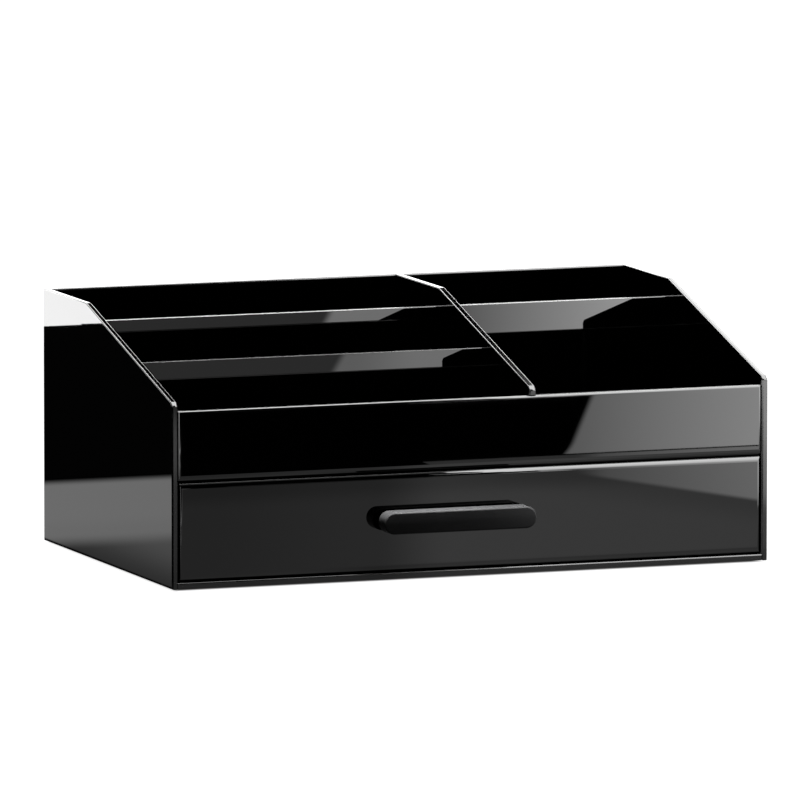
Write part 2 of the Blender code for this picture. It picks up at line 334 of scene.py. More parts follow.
def plain_mesh(bm, name):
    """A bmesh's mesh, its faces outwards. The bmesh goes."""
    bmesh.ops.recalc_face_normals(bm, faces=bm.faces[:])
    mesh = bpy.data.meshes.new(name)
    bm.to_mesh(mesh)
    bm.free()
    return mesh


def reopened(mesh):
    """A mesh's bmesh. The mesh goes."""
    bm = bmesh.new()
    bm.from_mesh(mesh)
    bpy.data.meshes.remove(mesh)
    return bm


def smoothed(bm, name, crisp=math.radians(60)):
    """A mesh from a bmesh, smooth over its rounded edges, crisp at sharper ones and true on its flats."""
    mesh = plain_mesh(bm, name)
    mesh.shade_smooth()
    mesh.set_sharp_from_angle(angle=crisp)
    made = linked(name, mesh)
    weighting = made.modifiers.new("flats", "WEIGHTED_NORMAL")
    weighting.mode = "FACE_AREA"
    weighting.weight = 100
    weighting.keep_sharp = True
    return evaluated_mesh(made)


def rectangle(left, right, bottom, top):
    """The corners of an upright rectangle, from its lower left one."""
    return ((left, bottom), (right, bottom), (right, top), (left, top))


def block(low, high):
    """A bmesh box between two corners."""
    bm = bmesh.new()
    bmesh.ops.create_cube(bm, size=1.0)
    for vert in bm.verts:
        for axis in range(3):
            vert.co[axis] = high[axis] if vert.co[axis] > 0 else low[axis]
    return bm


def edges_on(bm, *planes):
    """Edges whose ends lie on all the planes, each an axis number and a value."""
    return [edge for edge in bm.edges
            if all(abs(vert.co[axis] - value) < 1e-6 for vert in edge.verts for axis, value in planes)]


def round_over(bm, edges, radius, segments):
    """Rounds edges of a bmesh over."""
    bmesh.ops.bevel(bm, geom=edges, offset=radius, offset_type="OFFSET", segments=segments,
                    profile=0.5, affect="EDGES", clamp_overlap=False)


def join_rings(bm, rings):
    """Faces between each ring of vertices and the next one."""
    for one, other in zip(rings, rings[1:]):
        for index in range(len(one)):
            after = (index + 1) % len(one)
            corners = dict.fromkeys((one[index], one[after], other[after], other[index]))
            bm.faces.new(list(corners))


def corner_arc(before, corner, after, radius, steps):
    """Points of the arc that rounds one corner of an outline."""
    before, corner, after = Vector(before), Vector(corner), Vector(after)
    back, on = (before - corner).normalized(), (after - corner).normalized()
    half = back.angle(on) / 2
    centre = corner + (back + on).normalized() * (radius / math.sin(half))
    start = corner + back * (radius / math.tan(half)) - centre
    stop = corner + on * (radius / math.tan(half)) - centre
    sweep = start.angle(stop)
    return [centre + (start * math.sin((1 - step / steps) * sweep) + stop * math.sin(step / steps * sweep))
            / math.sin(sweep) for step in range(steps + 1)]


# Sides of a sheet that are glued to another one, each an axis and a direction
BONDED = {
    "centre_divider": ((Y, 1), (Z, -1)),
    "back_panel": ((X, -1), (X, 1)),
    "base_panel": ((X, -1), (X, 1), (Y, 1)),
    "deck_panel": ((X, -1), (X, 1), (Y, -1), (Y, 1)),
    "left_front_partition": ((X, -1), (X, 1), (Z, -1)),
    "left_rear_partition": ((X, -1), (X, 1), (Z, -1)),
    "right_partition": ((X, -1), (X, 1), (Z, -1)),
    "drawer_left_side": ((Y, -1),),
    "drawer_right_side": ((Y, -1),),
    "drawer_floor": ((X, -1), (X, 1), (Y, -1)),
    "drawer_back": ((X, -1), (X, 1), (Z, -1)),
}
# Share of the rim's rounding on a sloped sheet's left side at the top and on its right side down the front
LEFT_TOP_SHARE, RIGHT_FRONT_SHARE = 0.65, 0.4


def bonded_box(node, sizes):
    """A CAD node's box, grown over the glue gaps so that its sheet meets the ones it is bonded to."""
    corners = [Vector(corner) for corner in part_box(node)]
    for axis, way in BONDED.get(node, ()):
        corners[way > 0][axis] += way * sizes.glue_gap
    return corners


def mitres(outline, eased):
    """How each corner of an outline moves inwards while its eased edges move by one unit and the others
    stay."""
    moves = []
    for index, corner in enumerate(outline):
        inward = []
        for start, end in ((outline[index - 1], corner), (corner, outline[(index + 1) % len(outline)])):
            along = (end - start).normalized()
            inward.append(Vector((-along.y, along.x)))
        one, other = inward
        before, after = eased[index - 1], eased[index]
        facing = one.dot(other)
        if facing > 0.999:
            moves.append((one + other) * (before / 2))
        else:
            move = one * (before - after * facing) + other * (after - before * facing)
            moves.append(move / (1 - facing ** 2))
    return moves


def sloped_sheet(node, sizes):
    """A side panel or the divider: flat top at the back, slope and rounded nose, its rim rounded over.

    The rounding turns into a flat chamfer down the front. The divider stands on the deck and over the
    upper front panel, and its glued edges stay square.
    """
    low, high = bonded_box(node, sizes)
    side_low, side_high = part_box("left_side_panel")
    notched = node == "centre_divider"
    crest = (side_high.y - sizes.flat_top_depth, high.z)
    nose = (low.y, side_low.z + sizes.nose_height)
    feet = [(low.y, low.z)]
    if notched:
        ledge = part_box("fascia")[1]
        feet = [(low.y, ledge.z), (ledge.y, ledge.z), (ledge.y, low.z)]
    arc_steps, steps = 8, sizes.edge_steps
    outline = [Vector((high.y, low.z)), Vector((high.y, high.z))]
    outline += corner_arc(outline[1], crest, nose, sizes.crest_radius, arc_steps)
    flatness = [0.0] * (len(outline) + arc_steps + 1)
    flatness += [step / arc_steps for step in range(arc_steps + 1)] + [1.0] * len(feet)
    fall = math.atan2(crest[1] - nose[1], crest[0] - nose[0])
    back = sizes.nose_facet * math.cos(sizes.nose_tilt) / math.cos(fall)
    down = sizes.nose_facet * math.sin(sizes.nose_tilt - fall) / math.cos(fall)
    brow = (nose[0] + back * math.cos(fall), nose[1] + back * math.sin(fall))
    chin = (nose[0], nose[1] - down)
    outline += corner_arc(crest, brow, chin, sizes.nose_radius, arc_steps)
    outline += corner_arc(brow, chin, feet[0], sizes.nose_radius, arc_steps)
    outline += [Vector(foot) for foot in feet]
    eased = [1.0] * len(outline)
    if notched:
        eased[0] = 0.0
        eased[-3:] = [0.0] * 3
    moves = mitres(outline, eased)
    bm = bmesh.new()
    rings = []
    left, right = (low.x, 1, LEFT_TOP_SHARE, 1.0), (high.x, -1, 1.0, RIGHT_FRONT_SHARE)
    for face_x, way, top_share, front_share in (left, right):
        ring_steps = range(steps + 1) if way > 0 else range(steps, -1, -1)
        for step in ring_steps:
            share = step / steps
            angle = math.pi / 2 * share
            ring = []
            for corner, move, flat in zip(outline, moves, flatness):
                depth = (1 - math.cos(angle)) * (1 - flat) + share * flat
                inset = (1 - math.sin(angle)) * (1 - flat) + (1 - share) * flat
                reach = sizes.edge_radius * (top_share + (front_share - top_share) * flat)
                y, z = corner + move * (reach * inset)
                ring.append(bm.verts.new((face_x + way * reach * depth, y, z)))
            rings.append(ring)
    bm.faces.new(rings[0])
    bm.faces.new(rings[-1])
    join_rings(bm, rings)
    bmesh.ops.recalc_face_normals(bm, faces=bm.faces[:])
    tag_rims(bm, X)
    return smoothed(bm, node, math.radians(40))


def edges_along(bm, axis):
    """Edges that run along one axis."""
    return [edge for edge in bm.edges
            if abs((edge.verts[1].co - edge.verts[0].co).normalized()[axis]) > 0.9]


def flat_sheet(node, sizes, axis, along=None):
    """A plain sheet in its CAD node's place, all its edges rounded over or just those along one axis."""
    low, high = bonded_box(node, sizes)
    bm = block(low, high)
    edges = bm.edges[:] if along is None else edges_along(bm, along)
    round_over(bm, edges, sizes.edge_radius, sizes.edge_steps)
    tag_rims(bm, axis)
    return smoothed(bm, node)


# A front panel: share of the shallow roll's turn along the drawer's foot, facets of a roll for each of a
# plain rim's, and share of a plain rim's radius along the panel's rear edges
LEAST_SHARE, ROLL_FINENESS, REAR_SHARE = 0.8, 4, 0.25


def pillow_front(node, sizes):
    """A front panel: some of its front edges roll back a quarter turn, others less, to a crisp rim."""
    low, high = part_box(node)
    quarter = (sizes.side_roll_radius, math.pi / 2)
    shallow = (sizes.front_roll_radius, sizes.front_roll_sweep)
    least = (sizes.front_roll_radius, sizes.front_roll_sweep * LEAST_SHARE)
    steps = sizes.edge_steps * ROLL_FINENESS
    depths = [quarter[0] * (1 - math.cos(quarter[1] * step / steps)) for step in range(steps + 1)]

    def insets(roll):
        """How far the roll stands in from the panel's side at each depth."""
        radius, sweep = roll
        end = min(depths, key=lambda depth: abs(depth - radius * (1 - math.cos(sweep))))
        angles = [math.acos(1 - min(depth, end) / radius) for depth in depths]
        return [radius * (math.sin(angles[-1]) - math.sin(angle)) for angle in angles]

    sides = insets(quarter)
    foot, top = (insets(shallow), sides) if node == "fascia" else (insets(least), insets(shallow))
    rings = [(low.y + depth, *ring) for depth, ring in zip(depths, zip(sides, foot, top))]
    ease = sizes.edge_radius * REAR_SHARE
    rings += [(high.y - ease, 0.0, 0.0, 0.0), (high.y, ease, ease, ease)]
    bm = bmesh.new()
    loops = []
    for y, side, under, over in rings:
        outline = rectangle(low.x + side, high.x - side, low.z + under, high.z - over)
        loops.append([bm.verts.new((x, y, z)) for x, z in outline])
    join_rings(bm, loops)
    bm.faces.new(loops[0])
    bm.faces.new(loops[-1])
    tag_rims(bm, None)
    return smoothed(bm, node, math.radians(35))


def crested_wall(node, sizes):
    """A partition: both edges of its top rounded."""
    low, high = bonded_box(node, sizes)
    bm = block(low, high)
    crest = edges_on(bm, (Z, high.z), (Y, low.y)) + edges_on(bm, (Z, high.z), (Y, high.y))
    round_over(bm, crest, sizes.partition_edge_radius, sizes.edge_steps)
    tag_rims(bm, Y)
    return smoothed(bm, node)


def turned(profile, steps=48):
    """A closed mesh turned about the Y axis from radii and places along it, pole to pole or as a ring."""
    bm = bmesh.new()
    angles = [2 * math.pi * step / steps for step in range(steps)]
    rings = []
    for radius, y in profile:
        if radius == 0:
            rings.append([bm.verts.new((0, y, 0))] * steps)
        else:
            rings.append([bm.verts.new((radius * math.cos(angle), y, radius * math.sin(angle)))
                          for angle in angles])
    if profile[0][0]:
        rings.append(rings[0])
    join_rings(bm, rings)
    return bm


# Trees of geometry nodes

def new_tree(name, inputs):
    """A geometry tree with a geometry input and named ones, its graph, and the input fields by name."""
    tree = bpy.data.node_groups.new(name, "GeometryNodeTree")
    tree.interface.new_socket("Geometry", in_out="INPUT", socket_type="NodeSocketGeometry")
    for label, kind, value in inputs:
        socket = tree.interface.new_socket(label, in_out="INPUT", socket_type=kind)
        if value is not None:
            socket.default_value = value
    tree.interface.new_socket("Geometry", in_out="OUTPUT", socket_type="NodeSocketGeometry")
    graph = Graph(tree)
    entry = graph.node("NodeGroupInput")
    fields = {socket.name: Field(graph, socket) for socket in entry.outputs if socket.name}
    return tree, graph, fields


def end_tree(graph, geometry, material):
    """Ends a tree in Realize Instances and Set Material."""
    real = graph.field("GeometryNodeRealizeInstances", {0: geometry})
    dressed = graph.field("GeometryNodeSetMaterial", {"Geometry": real, "Material": material})
    graph.node("NodeGroupOutput", {0: dressed})


def run_tree(tree, name, values, mesh=None):
    """The plain mesh that a tree makes from its inputs by name, on a mesh or on nothing."""
    holder = linked(name, mesh or bpy.data.meshes.new(name))
    modifier = holder.modifiers.new(tree.name, "NODES")
    modifier.node_group = tree
    places = {item.name: item.identifier for item in tree.interface.items_tree
              if item.item_type == "SOCKET" and item.in_out == "INPUT"}
    for label, value in values.items():
        modifier[places[label]] = value
    return evaluated_mesh(holder)


def copies_tree():
    """Copies of a piece on a level grid about a centre, such as pads at the corners or a pair of posts."""
    tree, graph, given = new_tree("copies_on_grid", [
        ("Across", "NodeSocketInt", 2), ("Deep", "NodeSocketInt", 1),
        ("Width", "NodeSocketFloat", 0.1), ("Depth", "NodeSocketFloat", 0.0),
        ("Centre", "NodeSocketVector", (0, 0, 0)), ("Finish", "NodeSocketMaterial", None)])
    row = graph.math("FLOOR", graph.field("GeometryNodeInputIndex") / given["Across"])
    column = graph.field("GeometryNodeInputIndex") % given["Across"]
    x = (column / graph.math("MAXIMUM", given["Across"] - 1, 1) - 0.5) * given["Width"]
    y = (row / graph.math("MAXIMUM", given["Deep"] - 1, 1) - 0.5) * given["Depth"]
    points = graph.field("GeometryNodePoints", {
        "Count": given["Across"] * given["Deep"],
        "Position": graph.moved(given["Centre"], x, y * (given["Deep"] > 1))})
    copies = graph.field("GeometryNodeInstanceOnPoints", {"Points": points, "Instance": given["Geometry"]})
    end_tree(graph, copies, given["Finish"])
    return tree


def copies_on_grid(mesh, name, counts, first, last, slot):
    """Copies of a mesh on a level grid that reaches from the middle of one CAD node to another's."""
    first, last = middle(first), middle(last)
    return run_tree(copies_tree(), name, {
        "Across": counts[0], "Deep": counts[1], "Width": last.x - first.x, "Depth": last.y - first.y,
        "Centre": tuple((first + last) / 2), "Finish": finish(slot)}, mesh)


def pill_tree():
    """A pill-shaped bar along X: a stadium outline carried round a section with rounded edges."""
    tree, graph, given = new_tree("pill_bar", [
        ("Length", "NodeSocketFloat", 0.08), ("Height", "NodeSocketFloat", 0.01),
        ("Thickness", "NodeSocketFloat", 0.01), ("Edge Radius", "NodeSocketFloat", 0.001),
        ("End Steps", "NodeSocketInt", 32), ("Edge Steps", "NodeSocketInt", 6),
        ("Centre", "NodeSocketVector", (0, 0, 0)), ("Finish", "NodeSocketMaterial", None)])
    ends, edges = given["End Steps"], given["Edge Steps"]
    around, along = ends * 2 + 3, edges * 2 + 4
    grid = graph.field("GeometryNodeMeshGrid", {"Vertices X": around, "Vertices Y": along})
    index = graph.field("GeometryNodeInputIndex")
    ring = graph.math("FLOOR", (index + 0.5) / along)
    station = index - ring * along
    side = (ring > ends + 0.5) + (ring > ends * 2 + 1.5)
    angle = (ring - side) / ends * math.pi - math.pi / 2
    middle = (1 - graph.math("ABSOLUTE", 1 - side)) * -2 + 1
    first = graph.clamp((station - 1) / edges) * (math.pi / 2)
    second = graph.clamp((station - 2 - edges) / edges) * (math.pi / 2)
    edge, radius = given["Edge Radius"], given["Height"] * 0.5
    inset = edge * (1 - graph.math("SINE", first)) + edge * (1 - graph.math("COSINE", second))
    pole = (station < 0.5) + (station > edges * 2 + 2.5)
    inset = inset + (radius - edge) * pole
    reach = radius - inset
    x = (given["Length"] * 0.5 - radius) * middle + reach * graph.math("COSINE", angle)
    z = reach * graph.math("SINE", angle)
    back = given["Thickness"] * 0.5 - edge * (1 - graph.math("COSINE", first))
    y = back - (given["Thickness"] - edge * 2) * (station > edges + 1.5)
    y = y - edge * graph.math("SINE", second)
    place = graph.moved(given["Centre"], x, y, z)
    shaped = graph.field("GeometryNodeSetPosition", {"Geometry": grid, "Position": place})
    closed = graph.field("GeometryNodeMergeByDistance", {"Geometry": shaped, "Distance": 0.000005})
    end_tree(graph, closed, given["Finish"])
    return tree


# Settings

def number(name, description, default, low, high, **more):
    """A number that the panel shows."""
    return FloatProperty(name=name, description=description, default=default, min=low, max=high, **more)


def length(name, description, default, low, high, precision=4):
    """A length in metres."""
    return number(name, description, default, low, high, precision=precision, unit="LENGTH")


def turn(name, description, degrees, low, high):
    """An angle, its usual value in degrees and its limits in radians."""
    return number(name, description, math.radians(degrees), low, high, subtype="ANGLE")


def colour(name, description, default):
    """A colour that the panel shows."""
    return FloatVectorProperty(name=name, description=description, default=default, min=0, max=1,
                               size=3, subtype="COLOR")


class OrganizerSheets(bpy.types.PropertyGroup):
    """Sizes of the sheets' edges."""
    edge_radius: length("Edge radius", "Rounding of the sawn rims", 0.0008, 0.0001, 0.0014)
    side_roll_radius: length("Side roll radius", "Quarter rounding of the fronts", 0.0014, 0.0005, 0.0028)
    front_roll_radius: length("Front roll radius", "Shallower rounding of the fronts", 0.0038, 0.003, 0.006)
    front_roll_sweep: turn("Front roll sweep", "Turn of the shallower rounding", 50, 0.2, 0.95)
    glue_gap: length("Glue gap", "Gap between bonded sheets that the glue fills", 0.0003, 0, 0.001)
    partition_edge_radius: length("Partition edge radius", "Rounding of a partition's top",
                                  0.0003, 0.0001, 0.0014)
    crest_radius: length("Crest radius", "Rounding where the flat top meets the slope", 0.002, 0.0005, 0.01)
    nose_radius: length("Nose radius", "Rounding above and below the nose's facet", 0.0012, 0.0005, 0.002)
    nose_facet: length("Nose facet", "Length of the facet at the foot of the slope", 0.0028, 0.0015, 0.004)
    nose_tilt: turn("Nose tilt", "Angle of that facet below level", 44, 0.5, 1.0)
    flat_top_depth: length("Flat top depth", "Level stretch at the side panels' back", 0.067, 0.02, 0.15)
    nose_height: length("Nose height", "Height of the slope's foot above the case's underside",
                        0.0941, 0.05, 0.12)
    edge_steps: IntProperty(name="Edge steps", description="Facets across a rounded edge",
                            default=6, min=2, max=12)


class OrganizerHandle(bpy.types.PropertyGroup):
    """Sizes of the handle's edges, posts and screws."""
    edge_radius: length("Edge radius", "Rounding of the bar's edges", 0.0009, 0.0003, 0.004)
    post_chamfer: length("Post chamfer", "Chamfer at the ends of a post", 0.0004, 0.0001, 0.001)
    recess_radius: length("Recess radius", "Reach of the cross in a screw's head", 0.0021, 0.0005, 0.003)
    recess_depth: length("Recess depth", "Depth of the cross recess", 0.0012, 0.0003, 0.0018)


class OrganizerFinishes(bpy.types.PropertyGroup):
    """Colours and gloss of the finishes."""
    acrylic_color: colour("Acrylic", "Colour of the gloss sheet", (0.0006, 0.0006, 0.0007))
    satin_color: colour("Satin", "Colour of the handle", (0.005, 0.005, 0.0051))
    gloss_roughness: number("Gloss roughness", "Roughness of the sheets' faces", 0.012, 0, 0.3)
    rim_roughness: number("Rim roughness", "Roughness of the sheets' rims", 0.09, 0, 0.5)
    satin_roughness: number("Satin roughness", "Roughness of the handle", 0.25, 0.1, 0.8)
    sheet_wave: length("Sheet wave", "Height of the faint waves in the sheets", 0.000004, 0, 0.001, 6)


class OrganizerStage(bpy.types.PropertyGroup):
    """The studio: its camera and the strength of its soft lights."""
    lens: number("Lens", "Focal length of the camera", 657.2, 20, 2000)
    floor_strength: number("Floor", "Brightness of the pale floor", 1.02, 0, 5)
    rear_strength: number("Rear screen", "Brightness of the low screen behind", 4.7, 0, 30)


# Operators

class ORGANIZER_OT_side_panels(bpy.types.Operator):
    """Makes the two side panels and the divider"""
    bl_idname = "organizer.side_panels"
    bl_label = "Side panels and divider"

    def execute(self, context):
        sizes = context.scene.organizer_sheets
        for node in ("left_side_panel", "right_side_panel", "centre_divider"):
            add_piece(node + "_sheet", sloped_sheet(node, sizes), CASE, [node], "case_acrylic")
        return {"FINISHED"}


class ORGANIZER_OT_back_base_deck(bpy.types.Operator):
    """Makes the back panel, the base panel and the deck between drawer and compartments"""
    bl_idname = "organizer.back_base_deck"
    bl_label = "Back, base and deck"

    def execute(self, context):
        sizes = context.scene.organizer_sheets
        for node, axis in (("back_panel", Y), ("base_panel", Z), ("deck_panel", Z)):
            add_piece(node + "_sheet", flat_sheet(node, sizes, axis, along=X), CASE, [node], "case_acrylic")
        return {"FINISHED"}


class ORGANIZER_OT_fascia(bpy.types.Operator):
    """Makes the upper front panel"""
    bl_idname = "organizer.fascia"
    bl_label = "Upper front panel"

    def execute(self, context):
        mesh = pillow_front("fascia", context.scene.organizer_sheets)
        add_piece("fascia_panel", mesh, CASE, ["fascia"], "case_acrylic")
        return {"FINISHED"}


class ORGANIZER_OT_partitions(bpy.types.Operator):
    """Makes the three walls across the bays"""
    bl_idname = "organizer.partitions"
    bl_label = "Partitions"

    def execute(self, context):
        sizes = context.scene.organizer_sheets
        for node in ("left_front_partition", "left_rear_partition", "right_partition"):
            add_piece(node + "_wall", crested_wall(node, sizes), CASE, [node], "case_acrylic")
        return {"FINISHED"}


class ORGANIZER_OT_drawer_front(bpy.types.Operator):
    """Makes the drawer's front"""
    bl_idname = "organizer.drawer_front"
    bl_label = "Drawer front"

    def execute(self, context):
        mesh = pillow_front("drawer_front", context.scene.organizer_sheets)
        add_piece("drawer_front_panel", mesh, DRAWER, ["drawer_front"], "drawer_acrylic")
        return {"FINISHED"}


class ORGANIZER_OT_drawer_box(bpy.types.Operator):
    """Makes the drawer's sides, back and floor"""
    bl_idname = "organizer.drawer_box"
    bl_label = "Drawer box"

    def execute(self, context):
        sizes = context.scene.organizer_sheets
        for node, axis in (("drawer_left_side", X), ("drawer_right_side", X), ("drawer_back", Y),
                           ("drawer_floor", Z)):
            add_piece(node + "_sheet", flat_sheet(node, sizes, axis), DRAWER, [node], "drawer_acrylic")
        return {"FINISHED"}


class ORGANIZER_OT_handle_bar(bpy.types.Operator):
    """Makes the pill-shaped bar of the handle"""
    bl_idname = "organizer.handle_bar"
    bl_label = "Handle bar"

    def execute(self, context):
        low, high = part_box("handle_bar")
        size = high - low
        mesh = run_tree(pill_tree(), "pill", {
            "Length": size.x, "Height": size.z, "Thickness": size.y,
            "Edge Radius": context.scene.organizer_handle.edge_radius, "End Steps": 40, "Edge Steps": 8,
            "Centre": tuple(middle("handle_bar")), "Finish": finish("handle_satin")})
        mesh = smoothed(reopened(mesh), "handle_pill")
        add_piece("handle_pill", mesh, DRAWER, ["handle_bar"], "handle_satin")
        return {"FINISHED"}


# Shares of a radius: a post's bore, and a screw's shank and the flat top of its head
POST_BORE_SHARE, SHANK_SHARE, FLAT_SHARE = 0.58, 0.46, 0.62
# A screw: the gap under its head, the height of the head's rim and the length of the point
HEAD_GAP, HEAD_RIM, POINT_LENGTH = 0.0003, 0.0006, 0.0005
# The cross recess: half an arm's width as a share of its reach, and its size at the bottom beside the top's
RECESS_ARM, RECESS_TAPER = 0.24, 0.55


class ORGANIZER_OT_handle_fixings(bpy.types.Operator):
    """Makes the handle's two posts and two screws"""
    bl_idname = "organizer.handle_fixings"
    bl_label = "Handle posts and screws"

    def execute(self, context):
        sizes = context.scene.organizer_handle
        self.pair(self.post(sizes.post_chamfer), "handle_posts", ["handle_post_left", "handle_post_right"],
                  "handle_satin")
        self.pair(self.screw(sizes), "handle_screws", ["handle_screw_left", "handle_screw_right"],
                  "screw_steel")
        return {"FINISHED"}

    def post(self, chamfer):
        """A sleeve along Y with chamfered ends."""
        low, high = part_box("handle_post_left")
        radius, half = (high.x - low.x) / 2, (high.y - low.y) / 2
        bore = radius * POST_BORE_SHARE
        return turned([(bore, half), (radius - chamfer, half), (radius, half - chamfer),
                       (radius, chamfer - half), (radius - chamfer, -half), (bore, -half)])

    def screw(self, sizes):
        """A round-headed screw along Y with a cross recess."""
        low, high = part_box("handle_screw_left")
        centre = middle("handle_screw_left").y
        profile = [(radius, y - centre) for radius, y in self.screw_profile(low, high)]
        holder = linked("screw", plain_mesh(turned(profile), "screw"))
        cutter = linked("recess", plain_mesh(self.recess(high.y - centre, sizes), "recess"))
        holder.modifiers.new("recess", "BOOLEAN").object = cutter
        cut = evaluated_mesh(holder)
        bpy.data.objects.remove(cutter)
        return reopened(cut)

    def screw_profile(self, low, high):
        """Radii and places along Y, from the screw's point to the top of its head."""
        head = (high.x - low.x) / 2
        shank = head * SHANK_SHARE
        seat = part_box("drawer_front")[1].y + HEAD_GAP
        rim = seat + HEAD_RIM
        profile = [(0, low.y), (shank * 0.7, low.y), (shank, low.y + POINT_LENGTH),
                   (shank, seat), (head, seat)]
        steps = 8
        for step in range(steps + 1):
            angle = math.pi / 2 * step / steps
            profile.append((head * (FLAT_SHARE + (1 - FLAT_SHARE) * math.cos(angle)),
                            rim + (high.y - rim) * math.sin(angle)))
        return profile + [(head * 0.3, high.y), (0, high.y)]

    def recess(self, top, sizes):
        """A cross-shaped cutter that tapers into the head."""
        bm = bmesh.new()
        reach, depth = sizes.recess_radius, sizes.recess_depth
        arm = reach * RECESS_ARM
        outline = [(arm, arm), (arm, reach), (-arm, reach), (-arm, arm), (-reach, arm), (-reach, -arm),
                   (-arm, -arm), (-arm, -reach), (arm, -reach), (arm, -arm), (reach, -arm), (reach, arm)]
        outer = [bm.verts.new((x, top + 0.0005, z)) for x, z in outline]
        inner = [bm.verts.new((x * RECESS_TAPER, top - depth, z * RECESS_TAPER)) for x, z in outline]
        bm.faces.new(outer)
        bm.faces.new(inner)
        join_rings(bm, [outer, inner])
        return bm

    def pair(self, bm, name, nodes, slot):
        """Two copies of a fixing, one for each end of the handle."""
        mesh = copies_on_grid(plain_mesh(bm, name), name, (2, 1), *nodes, slot)
        mesh.shade_smooth()
        mesh.set_sharp_from_angle(angle=math.radians(30))
        add_piece(name, mesh, DRAWER, nodes, slot)


class ORGANIZER_OT_pads(bpy.types.Operator):
    """Makes the four anti-slip pads under the base"""
    bl_idname = "organizer.pads"
    bl_label = "Anti-slip pads"

    def execute(self, context):
        low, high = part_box("pad_front_left")
        radius, thickness = (high.x - low.x) / 2, high.z - low.z
        bm = bmesh.new()
        bmesh.ops.create_cone(bm, cap_ends=True, segments=64, radius1=radius, radius2=radius,
                              depth=thickness)
        rims = edges_on(bm, (Z, thickness / 2)) + edges_on(bm, (Z, -thickness / 2))
        round_over(bm, rims, thickness * 0.3, 3)
        nodes = ["pad_front_left", "pad_front_right", "pad_rear_left", "pad_rear_right"]
        mesh = copies_on_grid(smoothed(bm, "pad"), "pads", (2, 2), nodes[0], nodes[-1], "pad_rubber")
        add_piece("anti_slip_pads", mesh, CASE, nodes, "pad_rubber")
        return {"FINISHED"}


# Stage

# The camera's place, how it is turned, the width of its sensor in millimetres and how far it sees, and the
# slant of its view, in x for each step in y
CAMERA_PLACE = (-2.55036, -6.92534, 1.00771)
CAMERA_TURN = (math.radians(90 - 7.1727), 0, math.radians(-20.1835))
SENSOR_WIDTH, CLIP_END = 36.0, 60.0
VIEW_SLANT = 0.3678
# Half the floor's width, half the case's depth and its middle in y
FLOOR_REACH = 12.0
CASE_HALF_DEPTH, CASE_MIDDLE = 0.0995, 0.0071
# The world's brightness for rough surfaces and for mirror images. The camera sees it at 1.
WORLD_FILL, WORLD_GLEAM = 0.15, 0.004

# Outlines of the cards that aren't rectangles, in x and y for the table and in x and z for the others
TABLE = ((-0.53, -0.472), (0.132, -0.472), (0.132, -0.522), (0.75, -0.522), (0.75, 0.340), (-0.53, 0.340))
REAR_SCREEN = ((-1.0, 0.0348), (1.3, 0.0348), (1.3, 0.42), (0.05, 0.42), (0.05, 0.27), (-1.0, 0.27))
FRONT_FLAG = ((0.2116, -0.0040), (0.2161, -0.0015), (0.2191, 0.0020), (0.2211, 0.0060), (0.2318, 0.0303),
              (-0.0015, 0.0303), (-0.0015, -0.0040))
FRONT_SOFTBOX = ((0.1282, 0.0310), (0.1350, 0.0422), (0.1700, 0.0424), (0.1745, 0.0500), (0.2050, 0.0900),
                 (0.2350, 0.3700), (0.2620, 0.5500), (1.1, 0.5500), (1.1, -0.0010), (0.1297, -0.0010))
HIGH_SOFTBOX = ((0.345, 0.35), (1.3, 0.35), (1.9, 2.4), (0.93, 2.4), (0.638, 1.64), (0.484, 1.14),
                (0.41, 0.79), (0.36, 0.567))
# Brightness of the grey card that stands behind the left edge of the front softbox
FRONT_GREY = 0.57
# The lamp beside the handle leans towards it
LAMP_BESIDE = ((0.050, -0.134, 0.070), (0.070, -0.134, 0.070),
               (0.070, -0.118, 0.062), (0.050, -0.118, 0.062))


def glow(name, brightness, direct=False):
    """A light-giving material. Its brightness is a number or a pattern worked out from Object coordinates.
    What a direct one lights looks unlit in mirror images."""
    material, graph = new_material(name)
    if callable(brightness):
        brightness = brightness(graph, graph.axes(graph.place()))
    if direct:
        brightness = (graph.field("ShaderNodeLightPath", output="Glossy Depth") < 0.5) * brightness
    graph.end_surface(graph.field("ShaderNodeEmission", {"Color": WHITE, "Strength": brightness}))
    material.cycles.emission_sampling = "NONE"
    return material


def stage_sheet(name, corners, material):
    """One flat face of the stage."""
    mesh = bpy.data.meshes.new(name)
    mesh.from_pydata(corners, [], [tuple(range(len(corners)))])
    mesh.materials.append(material)
    made = linked(name, mesh)
    return made


def card(name, corners, material):
    """A flat card of the studio that only reflections see."""
    made = stage_sheet(name, corners, material)
    made.visible_camera = False
    made.visible_diffuse = False
    made.visible_shadow = False
    made.visible_transmission = False
    return made


def across(axis, place, outline):
    """The corners of an outline that stands across an axis, at a place on it."""
    return [(*corner[:axis], place, *corner[axis:]) for corner in outline]


